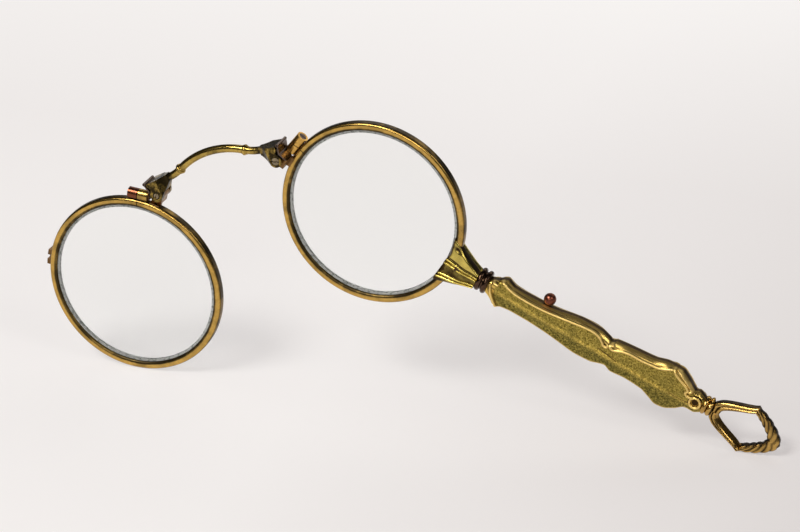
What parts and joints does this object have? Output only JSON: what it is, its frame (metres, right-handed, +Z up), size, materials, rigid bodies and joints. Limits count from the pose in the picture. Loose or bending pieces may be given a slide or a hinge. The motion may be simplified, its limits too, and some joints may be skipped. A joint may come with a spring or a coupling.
{
  "type": "folding lorgnette",
  "caption": "Folding lorgnette: round lenses on a hinged, sprung bridge, with a stamped gilt handle, a release slide and a ribbon loop.",
  "frame": {"origin": "centre of the box's underside, on the table that the open lorgnette stands on", "axes": "+X to the ribbon loop along the table, +Z up, and -Y to the front, which the picture shows"},
  "size_m": [0.1591, 0.0072, 0.0616],
  "materials": {
    "rim_gilt": "worn warm gilding over brass",
    "bridge_gilt": "worn gilding over drawn brass wire",
    "handle_gilt": "stamped and stippled gilding with an olive tone",
    "loop_gilt": "stamped gilding, darker in the hollows",
    "fitting_gilt": "dull gilding, dark with handling",
    "barrel_gilt": "worn gilding",
    "barrel_copper": "gilding worn to a red brown",
    "knob_copper": "polished red brown",
    "screw_steel": "dark slotted steel",
    "spring_steel": "bright spring steel",
    "lens_glass": "clear polished glass"
  },
  "bodies": {
    "right_half": {"right_rim": "rim_gilt", "right_lens": "lens_glass", "right_closing_barrels": "barrel_gilt", "right_closing_screw": "screw_steel", "right_hinge_lug": "fitting_gilt", "right_leaf_spring": "spring_steel", "ferrule": "handle_gilt", "neck_collar": "fitting_gilt", "handle_front_shell": "handle_gilt", "handle_back_shell": "handle_gilt", "slide_guides": "fitting_gilt", "catch_spring": "spring_steel", "end_collar": "fitting_gilt", "ribbon_loop": "loop_gilt"},
    "bridge_arm": {"bridge": "bridge_gilt", "right_hinge_screw": "screw_steel", "left_hinge_screw": "screw_steel"},
    "left_half": {"left_rim": "rim_gilt", "left_lens": "lens_glass", "left_closing_barrels": "barrel_copper", "left_closing_screw": "screw_steel", "left_hinge_lug": "fitting_gilt", "left_leaf_spring": "spring_steel", "catch_nib": "fitting_gilt"},
    "release": {"release_slide": "spring_steel", "release_knob": "knob_copper"}
  },
  "joints": [
    {"name": "bridge_hinge", "type": "hinge", "parent": "right_half", "child": "bridge_arm", "pos_m": [-0.02521, -0.00065, 0.05215], "axis": [0, -1, 0], "range_deg": [0, 81.61], "stiffness_Nm_per_rad": 0.01, "springref_deg": -57.3},
    {"name": "left_hinge", "type": "hinge", "parent": "bridge_arm", "child": "left_half", "pos_m": [-0.05253, -0.00065, 0.04085], "axis": [0, -1, 0], "range_deg": [0, 81.61], "stiffness_Nm_per_rad": 0.006, "springref_deg": -57.3},
    {"name": "release_slide", "type": "slide", "parent": "right_half", "child": "release", "axis": [0.9134, 0, -0.4071], "range_m": [0, 0.002], "stiffness_N_per_m": 120, "springref_m": -0.003, "deforming": ["catch_spring"]}
  ]
}
